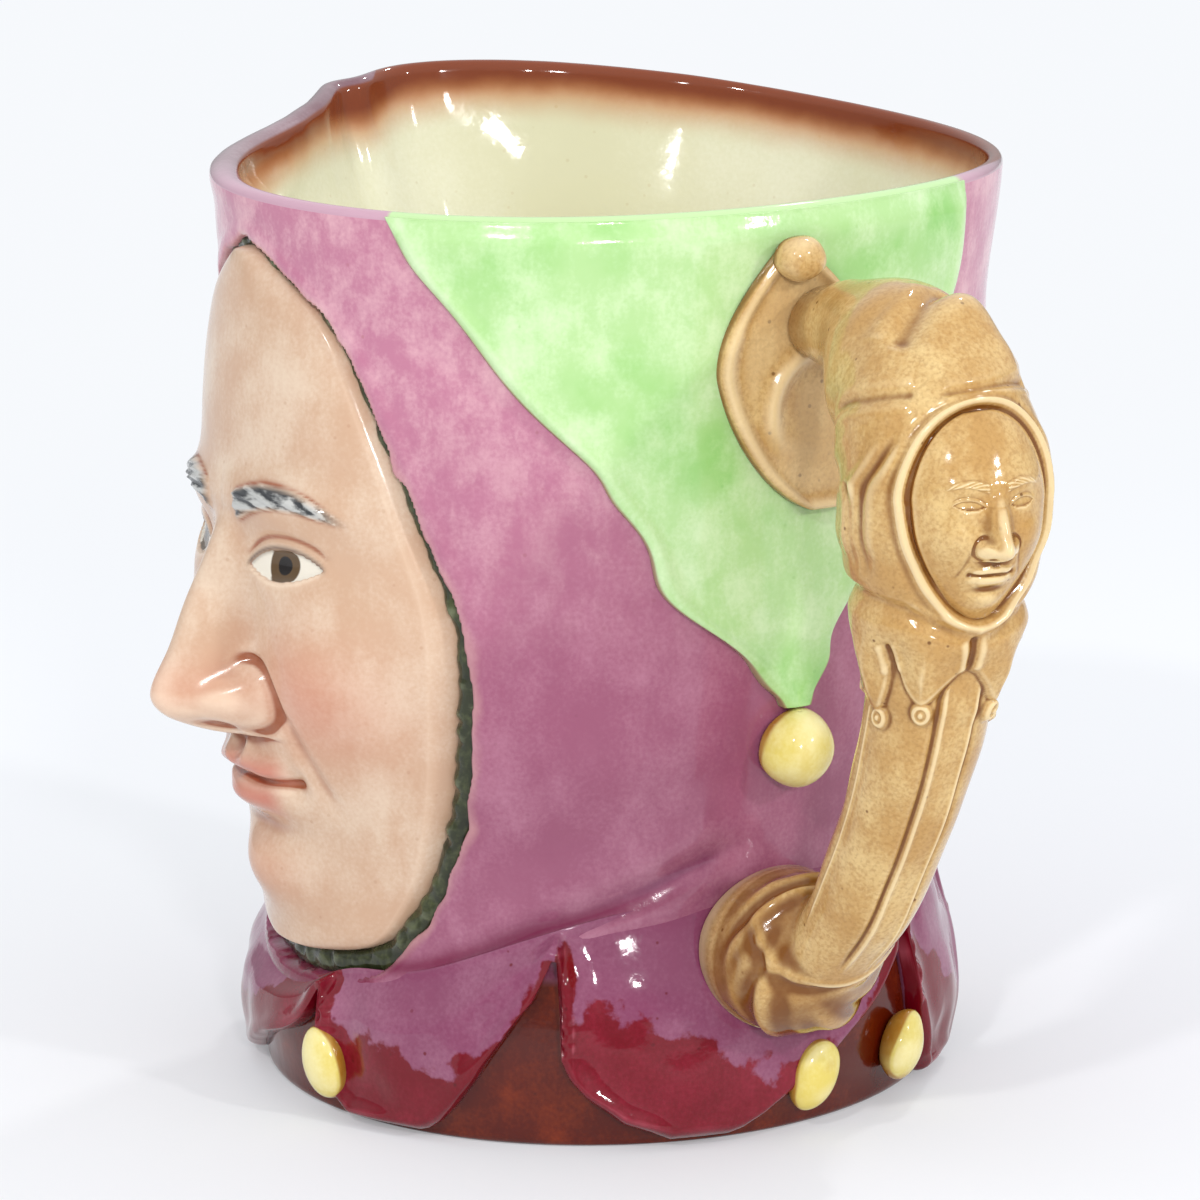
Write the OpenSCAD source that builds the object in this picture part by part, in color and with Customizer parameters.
// Jester character jug in glazed earthenware.
// The vessel is a hooded head, open at the top, and the handle is a fool's stick.
// The jug stands on z = 0 on its axis. The face looks near to -Y, the handle is near +X and the spout at -X.

/* [Rim and spout] */
// Height of the rim, without its rise and its dip
rim_h = 167; // [160:1:185]
// Reach of the rim to the handle and spout sides
rim_side = 66; // [62:0.5:72]
// Reach of the rim in front
rim_front = 71; // [66:0.5:76]
// Reach of the rim at the back
rim_back = 77; // [70:0.5:84]
// Thickness of the wall at the lip
lip_t = 3; // [2:0.1:4]
// How far the rim rises to its peak behind the spout
rim_rise = 11; // [4:0.5:14]
// Direction of the rim's peak, as an angle from +X
rim_peak = 165; // [150:1:180]
// How far the rim dips between the face and the handle
rim_dip = 2; // [0:0.25:3]
// How far the spout's lip stands out from the rim
spout_out = 8.5; // [4:0.5:12]
// Half of the angle that the spout takes up
spout_angle = 14; // [12:0.5:18]
// Height at which the spout starts to swell from the wall
spout_start = 132; // [115:1:145]

/* [Hood walls] */
// Height of the crown section, just under the flare of the rim
crown_h = 140; // [132:1:148]
// Reach of the crown section to the sides
crown_side = 64; // [60:0.5:70]
// Reach of the crown section in front
crown_front = 70; // [66:0.5:75]
// Reach of the crown section at the back
crown_back = 74; // [68:0.5:80]
// Height of the cheek section, in the middle of the hood
cheek_h = 95; // [85:1:110]
// Reach of the cheek section to the sides
cheek_side = 63.5; // [60:0.5:68]
// Reach of the cheek section in front
cheek_front = 69; // [66:0.5:73]
// Reach of the cheek section at the back
cheek_back = 70; // [66:0.5:76]
// Height of the neck, the narrowest section
neck_h = 42; // [36:1:50]
// Reach of the neck to the sides
neck_side = 58; // [55:0.5:61]
// Reach of the neck in front
neck_front = 61; // [58:0.5:64]
// Reach of the neck at the back
neck_back = 59; // [57:0.5:64]
// Thickness of the vessel's wall
wall_t = 5; // [3.5:0.1:6]

/* [Base] */
// Height of the widest section of the base
base_h = 13; // [10:0.5:16]
// Reach of the base to the sides
base_side = 62; // [59:0.5:66]
// Reach of the base in front
base_front = 64.5; // [61:0.5:68]
// Reach of the base at the back
base_back = 65; // [62:0.5:69]
// How far the foot draws in under the base
foot_in = 1.4; // [0.5:0.1:2.5]
// Thickness of the floor inside
floor_t = 7; // [5:0.5:9]
// Width of the rounding between the floor and the wall inside
floor_round = 9; // [6:0.5:12]

/* [Hood opening and face] */
// Height of the lower end of the hood's opening
opening_low = 24; // [20:0.5:28]
// Height of the upper end of the opening
opening_top = 158; // [150:0.5:159]
// Half of the opening's greatest width
opening_w = 45.2; // [42:0.2:46.6]
// Depth of the recess behind the opening
recess = 7; // [5:0.5:8]
// How far the hem of the hood stands out along the opening
hem_t = 0.5; // [0.2:0.1:1]
// Width of the hem
hem_w = 5; // [3:0.5:7]
// Width of the open seam between the face and the hood
seam_w = 3; // [2:0.25:4]
// Thickness of the face at its edge
face_edge = 5; // [4:0.25:6]
// How far the middle of the face domes out over its edge
face_dome = 7.5; // [5:0.5:10]
// Height of the chin above the table
chin_h = 36; // [33:0.5:40]
// Length of the face from chin to hairline
face_len = 111; // [104:1:114]
// Distance between the middles of the eyes
eye_gap = 33; // [29:0.5:36]
// How far the tip of the nose stands out from the cheeks
nose_out = 14; // [10:0.5:17]
// Half width of the nose at its tip
nose_w = 8.5; // [7:0.25:10]
// Half width of the mouth
mouth_w = 13; // [10:0.5:16]

/* [Flaps] */
// Thickness of the hood's flaps
flap_t = 1.4; // [1:0.1:2]
// Height of the lower tip of the flaps
flap_tip_h = 78; // [74:0.5:84]
// Radius of the bell at each flap's tip
flap_bell_r = 6.8; // [5:0.1:8]

/* [Collar] */
// Thickness of the collar at its lower edge
collar_t = 2; // [1.4:0.1:2.6]
// Thickness of the collar at its upper edge
collar_top_t = 0.8; // [0.5:0.1:1.2]
// Height of the collar's upper edge at the back and sides
collar_top_h = 46; // [40:0.5:50]
// Height of the collar's upper edge under the chin
collar_chin_h = 22; // [19:0.5:23]
// Height of the collar's points above the table
collar_hem_h = 1.5; // [1:0.1:3]
// Height of the gaps between the points
gap_h = 34.5; // [26:0.5:36]
// Half width of a bell on the collar
collar_bell_w = 4; // [3:0.1:5]
// Half height of a bell on the collar
collar_bell_l = 6.8; // [5:0.1:8]
// Height of the middle of the collar's bells
collar_bell_h = 10.5; // [8:0.5:12]

/* [Handle] */
// How far the handle is turned from +X towards the face
handle_turn = 4.5; // [0:0.5:6]
// Height of the middle of the handle's foot
handle_foot_h = 34.5; // [33.5:0.25:36]
// Radius of the handle's foot
handle_foot_r = 14.5; // [12:0.25:15]
// Radius of the stick
stick_r = 9.3; // [8:0.1:11]
// How far the ribs along the stick stand out
rib = 0.7; // [0.2:0.1:1.2]
// Radius of the small collar on the stick
stick_collar_r = 12.7; // [11.5:0.1:14]
// Height of the middle of the small head
head_h = 124; // [116:0.5:126]
// Distance of the small head's middle from the wall
handle_reach = 43; // [38:0.5:46]
// Half width of the small head
head_r = 17.1; // [15:0.1:18.5]
// How far the peak of the small hood stands out above the small face
small_peak = 3; // [0:0.25:4]
// Depth of the recess round the small face
small_recess = 2.4; // [1.5:0.1:3]
// Height at which the handle's upper end meets the wall
tail_h = 143.5; // [138:0.5:145]
// Radius of the handle's upper end
tail_r = 10.2; // [8:0.1:11]
// Thickness of the leaf-shaped pad
pad_t = 2.6; // [1.8:0.1:3.2]
// Half width of the pad
pad_w = 16.5; // [14:0.5:19]
// How far the pad reaches below the handle's upper end
pad_below = 31; // [26:0.5:33]
// How far the tip of the pad stands above the top of the handle's upper end
pad_above = 6.8; // [6.6:0.1:8]
// How far the pad leans over, for each millimetre of height
pad_lean = 0.2; // [0:0.02:0.25]
// Radius of the ball at the tip of the pad
knob_r = 4.2; // [3:0.1:5]

/* [Joints] */
// Thickness of the film of slip that every applied piece is luted with
lute = 0.4; // [0.35:0.05:0.6]

/* [Hidden] */
$fn = 48;

mauve = [0.66, 0.38, 0.55];
flesh = [0.93, 0.75, 0.60];
green = [0.60, 0.86, 0.53];
yellow = [0.96, 0.88, 0.52];
crimson = [0.55, 0.14, 0.28];
tan_glaze = [0.78, 0.62, 0.38];

// Directions on the jug, as angles from +X
front = -96;
spout_side = 180;
rim_dip_at = -55;

// Places of the collar's bells, as angles from +X
collar_bell_angles = [-82, 1, 22, 90, 158, 179];

// The collar has this many points, and a gap nearly in front
points = 7;
gap_at = -93.5;
// Part of a point's angle that one side of a gap takes up
gap_share = 0.31;

// Heights of the loft's sections, and their reaches to the sides, the front and the back
section_h = [0, base_h, neck_h, cheek_h, crown_h, rim_h];
side_reach = [base_side - foot_in, base_side, neck_side, cheek_side, crown_side, rim_side];
front_reach = [base_front - foot_in, base_front, neck_front, cheek_front, crown_front, rim_front];
back_reach = [base_back - foot_in, base_back, neck_back, cheek_back, crown_back, rim_back];

// Widths of the hood's opening from its lower to its upper end, as shares of the greatest
opening_shape = [0, 0.48, 0.67, 0.81, 0.95, 1, 0.87, 0.70, 0.51, 0.20, 0];

// Edges of the flap above the handle, from its tip to the rim, as angles and shares of its height
flap_rise = rim_h - flap_tip_h;
flap_tip_at = -2.5;
flap_front_edge = [[-4, 0], [-11, 0.09], [-25, 0.25], [-31, 0.41], [-40, 0.55], [-57, 0.81], [-66, 1]];
flap_back_edge = [[-1, 0], [4, 0.08], [8, 0.18], [16, 0.37], [25, 0.56], [31, 0.78], [33, 1]];

// How far the path of the handle is turned from level at stations from foot (0) to head (1) to tail (2)
turn_at = [0, 0.10, 0.25, 0.45, 0.70, 1.00, 1.30, 1.60, 2];
turn_angle = [0, 18, 48, 66, 80, 95, 125, 162, 180];
// Radius of the handle at its own stations
radius_at = [0, 0.008, 0.07, 0.30, 0.60, 0.645, 0.72, 0.79, 0.95, 1.35, 1.65, 2];
handle_radius = [
    handle_foot_r, handle_foot_r, stick_r - 0.4, stick_r, stick_r + 1.1, stick_collar_r - 1, stick_collar_r,
    stick_collar_r + 0.4, head_r, head_r - 1.3, head_r - 3.5, tail_r
];
// Stations of the first rings above the handle's foot, and of the even ones after them
foot_stations = [0.004, 0.015, 0.035];
first_station = 0.06;
last_station = 1.90;
// Angles of the ribs from the middle of the handle's outer side, and the stations between which they run
rib_angles = [15, 90, 165];
rib_from = 0.08;
rib_to = 0.64;
// The carving is turned a little further towards the face than the handle is
carving_turn = -7;
// Stations of the small face, and of the peak of its hood
small_face_from = 0.80;
small_face_to = 1.26;
small_peak_at = 1.52;
// Half of the angle that the recess of the small face takes up
small_face_angle = 52;
// Angle of the seam between the small face and its hood
small_seam = 11;

// Half of the angle round the spout that has closer columns
spout_zone = 1.9 * spout_angle;
// How much the recess narrows from the hem to its floor
recess_draft = 0.8;

// Counts of rows and columns in the lofts and grids
floor_cols = 8;
hood_cols = 30;
spout_cols = 18;
cheek_cols = 6;
opening_rows = 16;
inner_rows = 6;
face_rows = 36;
face_cols = 28;
seat_cols = 7;
small_rows = 18;
small_cols = 14;
small_seat_cols = 7;
flap_cols = 13;
spout_flap_cols = 26;
flap_rows = 12;
collar_cols = 70;
collar_rows = 6;
pad_cols = 8;
pad_rows = 12;
handle_sides = 24;
handle_rings = 34;

function clamp01(t) = max(0, min(1, t));
function smooth(t) = let(c = clamp01(t)) c * c * (3 - 2 * c);
function bump(x, z, w, h) = exp(-pow(x / w, 2) - pow(z / h, 2));

// Index of the step of a rising list that holds t
function step_of(at, t, i = 0) = i >= len(at) - 2 || t < at[i + 1] ? i : step_of(at, t, i + 1);

// Value at t, running smoothly from one station to the next
function between(at, values, t) =
    let(i = step_of(at, t), k = smooth((t - at[i]) / (at[i + 1] - at[i])))
    values[i] + (values[i + 1] - values[i]) * k;

// Point at t on a smooth curve through a list of points, for t from 0 to 1
function curve(pts, t) =
    let(n = len(pts) - 1, i = min(n - 1, floor(t * n)), f = t * n - i)
    let(p0 = pts[max(0, i - 1)], p1 = pts[i], p2 = pts[i + 1], p3 = pts[min(n, i + 2)])
    0.5 * (2 * p1 + f * (p2 - p0) + f * f * (2 * p0 - 5 * p1 + 4 * p2 - p3)
        + f * f * f * (3 * p1 - 3 * p2 + p3 - p0));

// Reach of an oval section at an angle
function oval(a, side, front, back) =
    1 / sqrt(pow(cos(a) / side, 2) + pow(sin(a) / (sin(a) > 0 ? back : front), 2));

// Swell of the spout, with a slight pinch on either side of it
function spout(a, h) =
    let(
        d = abs(((a % 360) + 360) % 360 - spout_side) / spout_angle,
        rise = smooth((h - spout_start) / (rim_h - spout_start))
    )
    spout_out * rise * (exp(-d * d) - 0.28 * exp(-pow(d - 2.3, 2)));

// Reach of the hood's outer wall at an angle and a height
function wall(a, h) =
    oval(a, between(section_h, side_reach, h), between(section_h, front_reach, h),
        between(section_h, back_reach, h)) + spout(a, h);

// The rim's rise and dip, which fade quickly down the wall; the rise is steeper behind its peak
function lift(a, h) =
    let(
        behind = ((a - rim_peak) % 360 + 360) % 360 < 180,
        rise = rim_rise * pow((1 + cos(a - rim_peak)) / 2, behind ? 5.5 : 4),
        dip = rim_dip * pow((1 + cos(a - rim_dip_at)) / 2, 4)
    )
    (rise - dip) * pow(h / rim_h, 6);

// Point at an offset from the outer wall
function on_wall(a, h, off) =
    let(r = wall(a, h) + off) [r * cos(a), r * sin(a), h + lift(a, h)];

// Point at an offset from the wall on the handle's side, at a distance across from the handle's plane
function beside_handle(y, h, off) = on_wall(asin(y / wall(-handle_turn, h)) - handle_turn, h, off);

// Slope of the wall at an angle and a height, as an angle from upright
function wall_slope(a, h) = atan2(wall(a, h + 1) - wall(a, h - 1), 2);

// Half width of the hood's opening at a height, drawn in by an inset all round
function opening(h, inset) =
    let(k = clamp01((h - opening_low - inset) / (opening_top - opening_low - 2 * inset)))
    (opening_w - inset) * max(0, curve(opening_shape, acos(1 - 2 * k) / 180));
// The same as an angle, at a depth behind the outer wall
function opening_angle(h, inset, deep) =
    asin(opening(h, inset) / (between(section_h, front_reach, h) - deep));

// Depth of the recess at a height, running out at both ends of the opening
function recess_at(h) = recess * smooth(min(opening_top - h, h - opening_low) / seam_w);

// Triangles of a grid of points, row after row, which may close on itself along its rows
function grid_faces(rows, cols, closed, start, flip) = [
    for (i = [0 : rows - 2])
        for (j = [0 : cols - (closed ? 1 : 2)])
            let(
                a = start + i * cols + j,
                b = start + i * cols + (j + 1) % cols,
                c = a + cols,
                d = b + cols
            )
            each flip ? [[a, c, b], [b, c, d]] : [[a, b, c], [b, d, c]]
];

// Triangles between two runs of point numbers, where each step of the second faces one or more of the first
function strip(p, q) =
    let(k = (len(p) - 1) / (len(q) - 1))
    [
        for (j = [0 : len(q) - 2])
            each concat(
                [for (i = [0 : k - 1]) [p[j * k + i], p[j * k + i + 1], q[j]]],
                [[p[j * k + k], q[j + 1], q[j]]]
            )
    ];

// Closed tube through a list of rings, with a middle point that closes each end
module loft(rings, first, last) {
    n = len(rings[0]);
    m = len(rings);
    pts = [for (r = rings) each r];
    polyhedron(
        concat(pts, [first, last]),
        concat(
            grid_faces(m, n, true, 0, true),
            [for (j = [0 : n - 1]) [n * m, j, (j + 1) % n]],
            [for (j = [0 : n - 1]) [n * m + 1, n * (m - 1) + (j + 1) % n, n * (m - 1) + j]]
        ),
        convexity = 10
    );
}

// Solid between a grid of outer points and a grid of inner points that may have fewer columns.
// Seen from outside, the columns run from left to right and the rows from low to high.
module slab(outer, inner, closed = false) {
    rows = len(outer);
    cols = len(outer[0]);
    inner_cols = len(inner[0]);
    n = rows * cols;
    function low(c, start) = [for (j = [0 : c - (closed ? 0 : 1)]) start + j % c];
    function high(c, start) = [for (j = [c - (closed ? 0 : 1) : -1 : 0]) start + j % c + (rows - 1) * c];
    function left(c, start) = [for (i = [rows - 1 : -1 : 0]) start + i * c];
    function right(c, start) = [for (i = [0 : rows - 1]) start + i * c + c - 1];
    polyhedron(
        concat([for (r = outer) each r], [for (r = inner) each r]),
        concat(
            grid_faces(rows, cols, closed, 0, true),
            grid_faces(rows, inner_cols, closed, n, false),
            strip(low(cols, 0), low(inner_cols, n)),
            strip(high(cols, 0), high(inner_cols, n)),
            closed ? [] : strip(left(cols, 0), left(inner_cols, n)),
            closed ? [] : strip(right(cols, 0), right(inner_cols, n))
        ),
        convexity = 10
    );
}

// Places of evenly spaced columns from -1 to 1
function across(cols) = [for (j = [0 : cols]) 2 * j / cols - 1];

// Evenly spaced angles from one to another, without the last
function spread(from, to, cols) = [for (j = [0 : cols - 1]) from + (to - from) * j / cols];

// One ring of the hood's outer surface at a height
function hood_ring(h) =
    let(
        deep = recess_at(h),
        edge = max(1.5, opening_angle(h, 0, 0)),
        inside = max(1, opening_angle(h, recess_draft, deep)),
        hem = hem_t * deep / recess,
        hem_a = front + edge + hem_w
    )
    concat(
        [for (s = across(floor_cols)) on_wall(front + inside * s, h, -deep)],
        [on_wall(front + edge, h, hem)],
        [for (a = spread(hem_a, spout_side - spout_zone, hood_cols)) on_wall(a, h, 0)],
        [for (a = spread(spout_side - spout_zone, spout_side + spout_zone, spout_cols)) on_wall(a, h, 0)],
        [for (a = spread(spout_side + spout_zone, 360 + 2 * front - hem_a, cheek_cols)) on_wall(a, h, 0)],
        [on_wall(2 * front - hem_a, h, 0)],
        [on_wall(front - edge, h, hem)]
    );

// Angles of the columns at the rim, which the inside keeps all the way down
rim_angles = [for (p = hood_ring(rim_h)) atan2(p[1], p[0])];

// Offset of the inside from the outer wall: thin at the lip, thicker in front where the recess is
function inside_offset(a, h) =
    let(k = smooth((rim_h - h) / (rim_h - crown_h)), ahead = max(0, cos(a - front)))
    -(lip_t + (wall_t - lip_t + recess * ahead) * k);

// One ring of the inside at a height
function inside_ring(h) = [for (a = rim_angles) on_wall(a, h, inside_offset(a, h))];

// The ring where the floor inside ends
function floor_ring() = [
    for (a = rim_angles)
        let(p = on_wall(a, floor_t, inside_offset(a, floor_t) - floor_round)) [p[0], p[1], floor_t]
];

module body() {
    low_rows = [for (i = [0 : 5]) opening_low * pow(i / 5, 1.1)];
    first = opening_low + seam_w;
    mid_rows = [
        for (i = [0 : opening_rows])
            first + (opening_top - seam_w - first)
                * (0.3 * i / opening_rows + 0.7 * (1 - cos(180 * i / opening_rows)) / 2)
    ];
    top_rows = [for (i = [0 : 3]) opening_top + (rim_h - opening_top) * i / 3];
    inner_low = floor_t + floor_round / 2;
    inner_heights = [for (i = [0 : inner_rows]) rim_h + (inner_low - rim_h) * i / inner_rows];
    rings = concat(
        [for (h = concat(low_rows, mid_rows, top_rows)) hood_ring(h)],
        [for (h = inner_heights) inside_ring(h)],
        [floor_ring()]
    );
    color(mauve) loft(rings, [0, 0, 0], [0, 0, floor_t]);
}

// Relief of the face over its dome, at a place across from the middle and up from the chin
function face_relief(x, z) =
    let(
        side = abs(x),
        eye = side - eye_gap / 2,
        third = face_len / 3,
        up = clamp01((z - third) / third),
        nose_height = nose_out * pow(1 - up, 1.15) + 4 * (1 - pow(up, 3)),
        nose_half = nose_w * (1 - 0.45 * up),
        nose_ends = smooth((z - third + 4) / 6) * smooth((2.15 * third - z) / 10),
        nose = nose_ends * nose_height * bump(x, 0, nose_half, 1)
    )
    nose
    + 5 * bump(side - nose_w, z - third - 4, 4.5, 4.5)
    + 2.6 * bump(eye, z - 2.06 * third, 12, 4.5)
    - 5.5 * bump(eye, z - 1.78 * third, 10, 7)
    + 4.8 * bump(eye, z - 1.77 * third, 7.5, 4.6)
    + 4 * bump(side - 0.72 * eye_gap, z - 1.25 * third, 12, 13)
    + 3 * bump(x, z - 0.68 * third, mouth_w + 5, 13)
    + 2.4 * bump(x, z - 0.77 * third, mouth_w - 1, 3)
    - 2.6 * bump(x, z - 0.67 * third, mouth_w, 1.8)
    + 3 * bump(x, z - 0.57 * third, mouth_w - 3, 3.2)
    - 2 * bump(x, z - 0.42 * third, mouth_w - 3, 3.5)
    + 5 * bump(x, z - 0.2 * third, 12, 7);

// Height of a mask over its seat: s runs across from -1 to 1 and t up from 0 to 1
function mask_height(s, t, edge, dome) =
    edge + dome * sqrt(max(0, 1 - pow(abs(s), 2.4))) * pow(sin(180 * clamp01(0.06 + 0.88 * t)), 0.35);
function mask_fade(s) = smooth((1 - abs(s)) / 0.25);

// Heights of the rows of the face, closer together at both ends
function face_row(i, rows) =
    let(t = i / rows, k = 0.8 * t + 0.2 * (1 - cos(180 * t)) / 2, low = opening_low + seam_w, end = 0.8)
    low + end + (opening_top - seam_w - 2 * end - low) * k;

// The wide face lies on a thicker film of slip than the other pieces
face_bed = 1.6 * lute;

// Point of the recess floor that carries the face, and the front of the face over it
function face_seat(s, h) =
    on_wall(front + s * opening_angle(h, seam_w, recess_at(h)), h, -recess_at(h) + face_bed);
function face_front(s, h, t) =
    let(
        p = face_seat(s, h),
        x = p[1] * cos(front) - p[0] * sin(front),
        height = mask_height(s, t, face_edge, face_dome) + face_relief(x, h - chin_h) * mask_fade(s)
    )
    p + height * [cos(front), sin(front), 0];

module face() {
    outer = [
        for (i = [0 : face_rows])
            [for (s = across(face_cols)) face_front(s, face_row(i, face_rows), i / face_rows)]
    ];
    inner = [
        for (i = [0 : face_rows])
            [for (s = across(seat_cols)) face_seat(s, face_row(i, face_rows))]
    ];
    color(flesh) slab(outer, inner);
}

// Point of a flap: t runs from its tip to the rim and k across it.
// The flap under the spout has the back edge of the other one on both sides.
function flap_point(t, k, off, at_spout) =
    let(
        p = curve(flap_front_edge, t),
        q = curve(flap_back_edge, t),
        m = at_spout ? [spout_side + (q[0] + 2) * (2 * k - 1), q[1]] : p + (q - p) * k
    )
    on_wall(m[0], min(rim_h, flap_tip_h + flap_rise * m[1]), off);

// Film of slip under the flaps
flap_bed = 1.2 * lute;

// A flap with its edges rounded off, above the handle or under the spout
module flap_cloth(cols, at_spout) {
    ks = concat([0], [for (j = [0 : cols - 2]) 0.03 + 0.94 * j / (cols - 2)], [1]);
    ts = [for (i = [0 : flap_rows]) 1 - pow(1 - i / flap_rows, 1.25)];
    function thick(k) = flap_t * (k == 0 || k == 1 ? 0.45 : 1);
    color(green) slab(
        [for (t = ts) [for (k = ks) flap_point(t, k, flap_bed + thick(k), at_spout)]],
        [for (t = ts) [for (k = ks) flap_point(t, k, flap_bed, at_spout)]]
    );
}

module flap_handle_side() {
    flap_cloth(flap_cols, false);
}

module flap_spout_side() {
    flap_cloth(spout_flap_cols, true);
}

// Sets a piece on the wall at an angle, a height and an offset, with its +X along the wall's outward side
module seat(a, h, off) {
    translate(on_wall(a, h, off)) rotate([0, 0, a]) rotate([0, wall_slope(a, h), 0]) children();
}

// Ball cut flat at the back, so that it lies against the wall
module flat_ball(r, stand) {
    rotate([0, 90, 0]) rotate_extrude() intersection() {
        translate([0, stand]) circle(r);
        square([r, stand + r]);
    }
}

module flap_bell(a) {
    color(yellow) seat(a, flap_tip_h - flap_bell_r - lute, lute) flat_ball(flap_bell_r, flap_bell_r * 0.3);
}

module flap_bell_handle_side() {
    flap_bell(flap_tip_at);
}

module flap_bell_spout_side() {
    flap_bell(spout_side);
}

// Upper edge of the collar, which dips under the chin
function collar_top(a) = collar_top_h - (collar_top_h - collar_chin_h) * pow((1 + cos(a - front)) / 2, 7);

// Lower edge of the collar, cut away in gaps between its points
function collar_low(a) =
    let(
        pitch = 360 / points,
        d = abs((((a - gap_at) / pitch + 0.5) % 1 + 1) % 1 - 0.5) / gap_share,
        top = min(gap_h, collar_top(a) - 5)
    )
    collar_hem_h + (top - collar_hem_h) * pow(clamp01(1 - d), 1.2);

// Point of the collar: t runs from its lower edge to its upper edge
function collar_point(a, t, off) =
    let(low = collar_low(a), h = low + (collar_top(a) - low) * t) on_wall(a, h, off);
function collar_thick(t) = collar_t + (collar_top_t - collar_t) * smooth(t);
// The collar stands a little further off the base at its hem than at its upper edge
function collar_bed(t) = lute * (2.6 - 1.5 * t);
collar_face = collar_bed(0) + collar_t;

module collar() {
    angles = [for (j = [0 : collar_cols - 1]) gap_at + 360 * j / collar_cols];
    ts = [for (i = [0 : collar_rows]) i / collar_rows];
    color(crimson) slab(
        [for (t = ts) [for (a = angles) collar_point(a, t, collar_bed(t) + collar_thick(t))]],
        [for (t = ts) [for (a = angles) collar_point(a, t, collar_bed(t))]],
        closed = true
    );
}

// Half of an egg-shaped bell, flat at the back where it lies on the collar
module collar_bell(i) {
    color(yellow) seat(collar_bell_angles[i], collar_bell_h, collar_face + lute)
        rotate([0, 0, -90]) rotate_extrude(angle = 180) polygon([
            for (k = [0 : 12]) let(b = -90 + 15 * k) [collar_bell_w * cos(b), collar_bell_l * sin(b)]
        ]);
}

module collar_bell_1() { collar_bell(0); }
module collar_bell_2() { collar_bell(1); }
module collar_bell_3() { collar_bell(2); }
module collar_bell_4() { collar_bell(3); }
module collar_bell_5() { collar_bell(4); }
module collar_bell_6() { collar_bell(5); }

// Thickness inside the pad's raised rim, as a share of the rim's
pad_hollow = 0.75;
// The pad lies on the flap, and the handle's upper end on the pad
pad_off = 2 * lute + flap_t;
tail_off = pad_off + pad_t * pad_hollow + 1.5 * lute;
knob_off = pad_off + pad_t + lute;
// The handle's foot lies on the collar
foot_off = collar_face + lute;

// Heights of the lower end of the pad, its widest part and its tip
pad_low = tail_h - pad_below;
pad_mid = pad_low + pad_w * 1.5;
pad_top = tail_h + tail_r + pad_above;

// Half width of the leaf-shaped pad at a height
function pad_half(h) =
    h < pad_mid
        ? pad_w * sqrt(1 - pow(clamp01((pad_mid - h) / (pad_mid - pad_low)), 2))
        : knob_r + (pad_w - knob_r) * (1 - pow(clamp01((h - pad_mid) / (pad_top - pad_mid)), 1.6));

// Distance of the pad's middle from the handle's plane at a height
function pad_shift(h) = pad_lean * (tail_h + 2.5 - h);

module handle_pad() {
    function place(k, h, off) = beside_handle(pad_shift(h) + k * pad_half(h), h, off);
    ks = concat([-1], [for (j = [0 : pad_cols - 2]) -0.9 + 1.8 * j / (pad_cols - 2)], [1]);
    hs = [for (i = [0 : pad_rows]) pad_low + 1 + (pad_top - pad_low - 1) * i / pad_rows];
    function thick(k) = pad_t * (abs(k) == 1 ? 0.5 : abs(k) > 0.8 ? 1 : pad_hollow);
    color(tan_glaze) slab(
        [for (h = hs) [for (k = ks) place(k, h, pad_off + thick(k))]],
        [for (h = hs) [for (k = ks) place(k, h, pad_off)]]
    );
}

module handle_knob() {
    h = pad_top - knob_r * 0.5;
    a = asin(pad_shift(h) / wall(-handle_turn, h)) - handle_turn;
    color(tan_glaze) seat(a, h, knob_off) flat_ball(knob_r, knob_r * 0.25);
}

// Path of the handle: height and distance from the wall at a station from 0 to 2
function path_h(s) =
    s < 1 ? handle_foot_h + (head_h - handle_foot_h) * s : head_h + (tail_h - head_h) * sin(90 * (s - 1));
function path_reach(s) =
    handle_reach * (s < 1 ? pow(sin(90 * s), 0.36) : pow(max(0, cos(90 * (s - 1))), 0.62));
function path_point(s) =
    let(h = path_h(s)) [wall(-handle_turn, h) + foot_off + path_reach(s), 0, h];

// Shape of the handle's section at an angle from the middle of the carving:
// ribs along the stick, a recess for the small face and a peak on the hood above it
function section(s, a) =
    let(
        off = abs(((a + 180) % 360 + 360) % 360 - 180),
        ribbed = smooth((s - rib_from) / 0.08) * smooth((rib_to - s) / 0.02),
        on_rib = min([for (r = rib_angles) abs(off - r)]) < 1,
        sunk = smooth((s - small_face_from + 0.09) / 0.06) * smooth((small_face_to + 0.09 - s) / 0.06)
    )
    between(radius_at, handle_radius, s)
    + (on_rib ? rib * ribbed : 0)
    - (off < small_face_angle ? small_recess * sunk : 0)
    + small_peak * bump(a - 25, s - small_peak_at, 28, 0.08);

// Point round the handle in its own plane, at a station, an angle from the middle of the carving and an offset
function round_handle(s, a, off) =
    let(r = section(s, a) + off, turn = between(turn_at, turn_angle, s), b = a + carving_turn)
    path_point(s) + r * [cos(b) * sin(turn), sin(b), -cos(b) * cos(turn)];

// The same point on the jug
function on_handle(p) =
    [p[0] * cos(handle_turn) + p[1] * sin(handle_turn), p[1] * cos(handle_turn) - p[0] * sin(handle_turn), p[2]];

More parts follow.
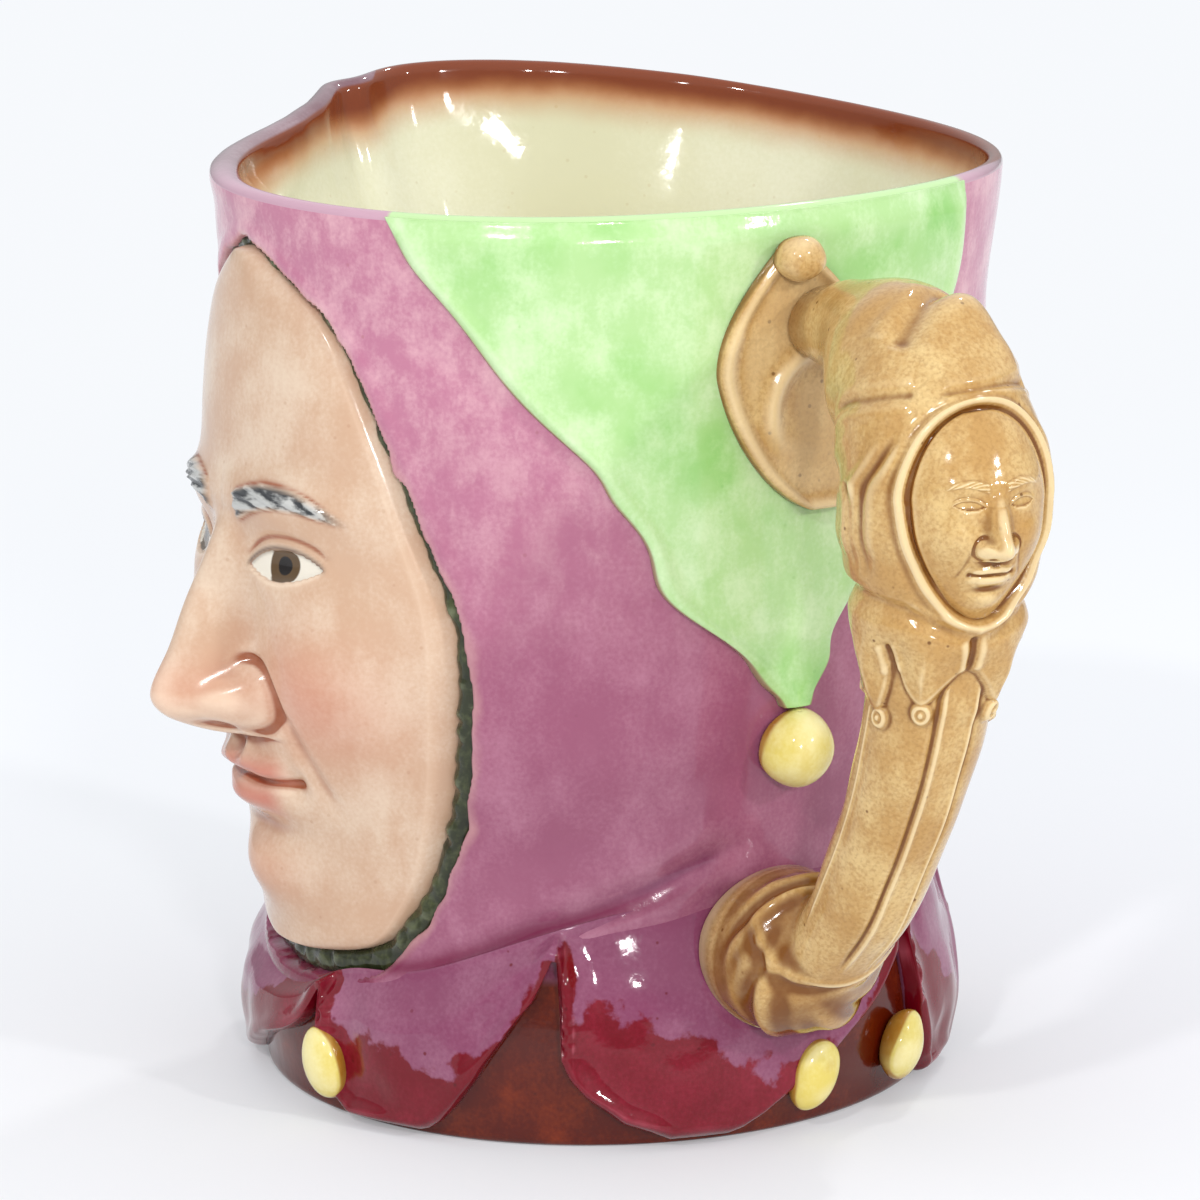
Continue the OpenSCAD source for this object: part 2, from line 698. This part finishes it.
// Ring where the handle meets what carries it, shrunk to a share of its size
function end_ring(h, r, off, share, down) = [
    for (j = [0 : handle_sides - 1])
        let(a = 360 * j / handle_sides + carving_turn)
            beside_handle(share * r * sin(a), h - share * down * r * cos(a), off)
];

module handle() {
    even = [for (i = [0 : handle_rings]) first_station + (last_station - first_station) * i / handle_rings];
    rings = concat(
        [end_ring(handle_foot_h, handle_foot_r, foot_off, 0.5, 1)],
        [end_ring(handle_foot_h, handle_foot_r, foot_off, 1, 1)],
        [
            for (s = concat(foot_stations, even))
                [for (j = [0 : handle_sides - 1]) on_handle(round_handle(s, 360 * j / handle_sides, 0))]
        ],
        [end_ring(tail_h, tail_r, tail_off, 1, -1)],
        [end_ring(tail_h, tail_r, tail_off, 0.5, -1)]
    );
    color(tan_glaze) loft(
        rings, beside_handle(0, handle_foot_h, foot_off), beside_handle(0, tail_h, tail_off)
    );
}

// Seat and front of the small face, which has the relief of the large one at its own size
small_len = (small_seat(0, 1) - small_seat(0, 0))[2];
small_scale = small_len / face_len;
small_shift = head_r * sin(carving_turn);
function small_half(t) = (small_face_angle - small_seam) * pow(1 - pow(abs(2 * t - 1), 2.4), 0.45);
function small_seat(s, t) =
    round_handle(small_face_from + (small_face_to - small_face_from) * t, s * small_half(t), lute);
function small_front(s, t) =
    let(p = small_seat(s, t), relief = face_relief((p[1] - small_shift) / small_scale, t * face_len) * mask_fade(s))
    p + small_scale * (mask_height(s, t, face_edge, face_dome) + relief) * [cos(carving_turn), sin(carving_turn), 0];

module handle_face() {
    ts = [for (i = [0 : small_rows]) 0.03 + 0.94 * i / small_rows];
    color(tan_glaze) slab(
        [for (t = ts) [for (s = across(small_cols)) on_handle(small_front(s, t))]],
        [for (t = ts) [for (s = across(small_seat_cols)) on_handle(small_seat(s, t))]]
    );
}

body();
face();
flap_handle_side();
flap_spout_side();
flap_bell_handle_side();
flap_bell_spout_side();
collar();
collar_bell_1();
collar_bell_2();
collar_bell_3();
collar_bell_4();
collar_bell_5();
collar_bell_6();
handle_pad();
handle_knob();
handle();
handle_face();
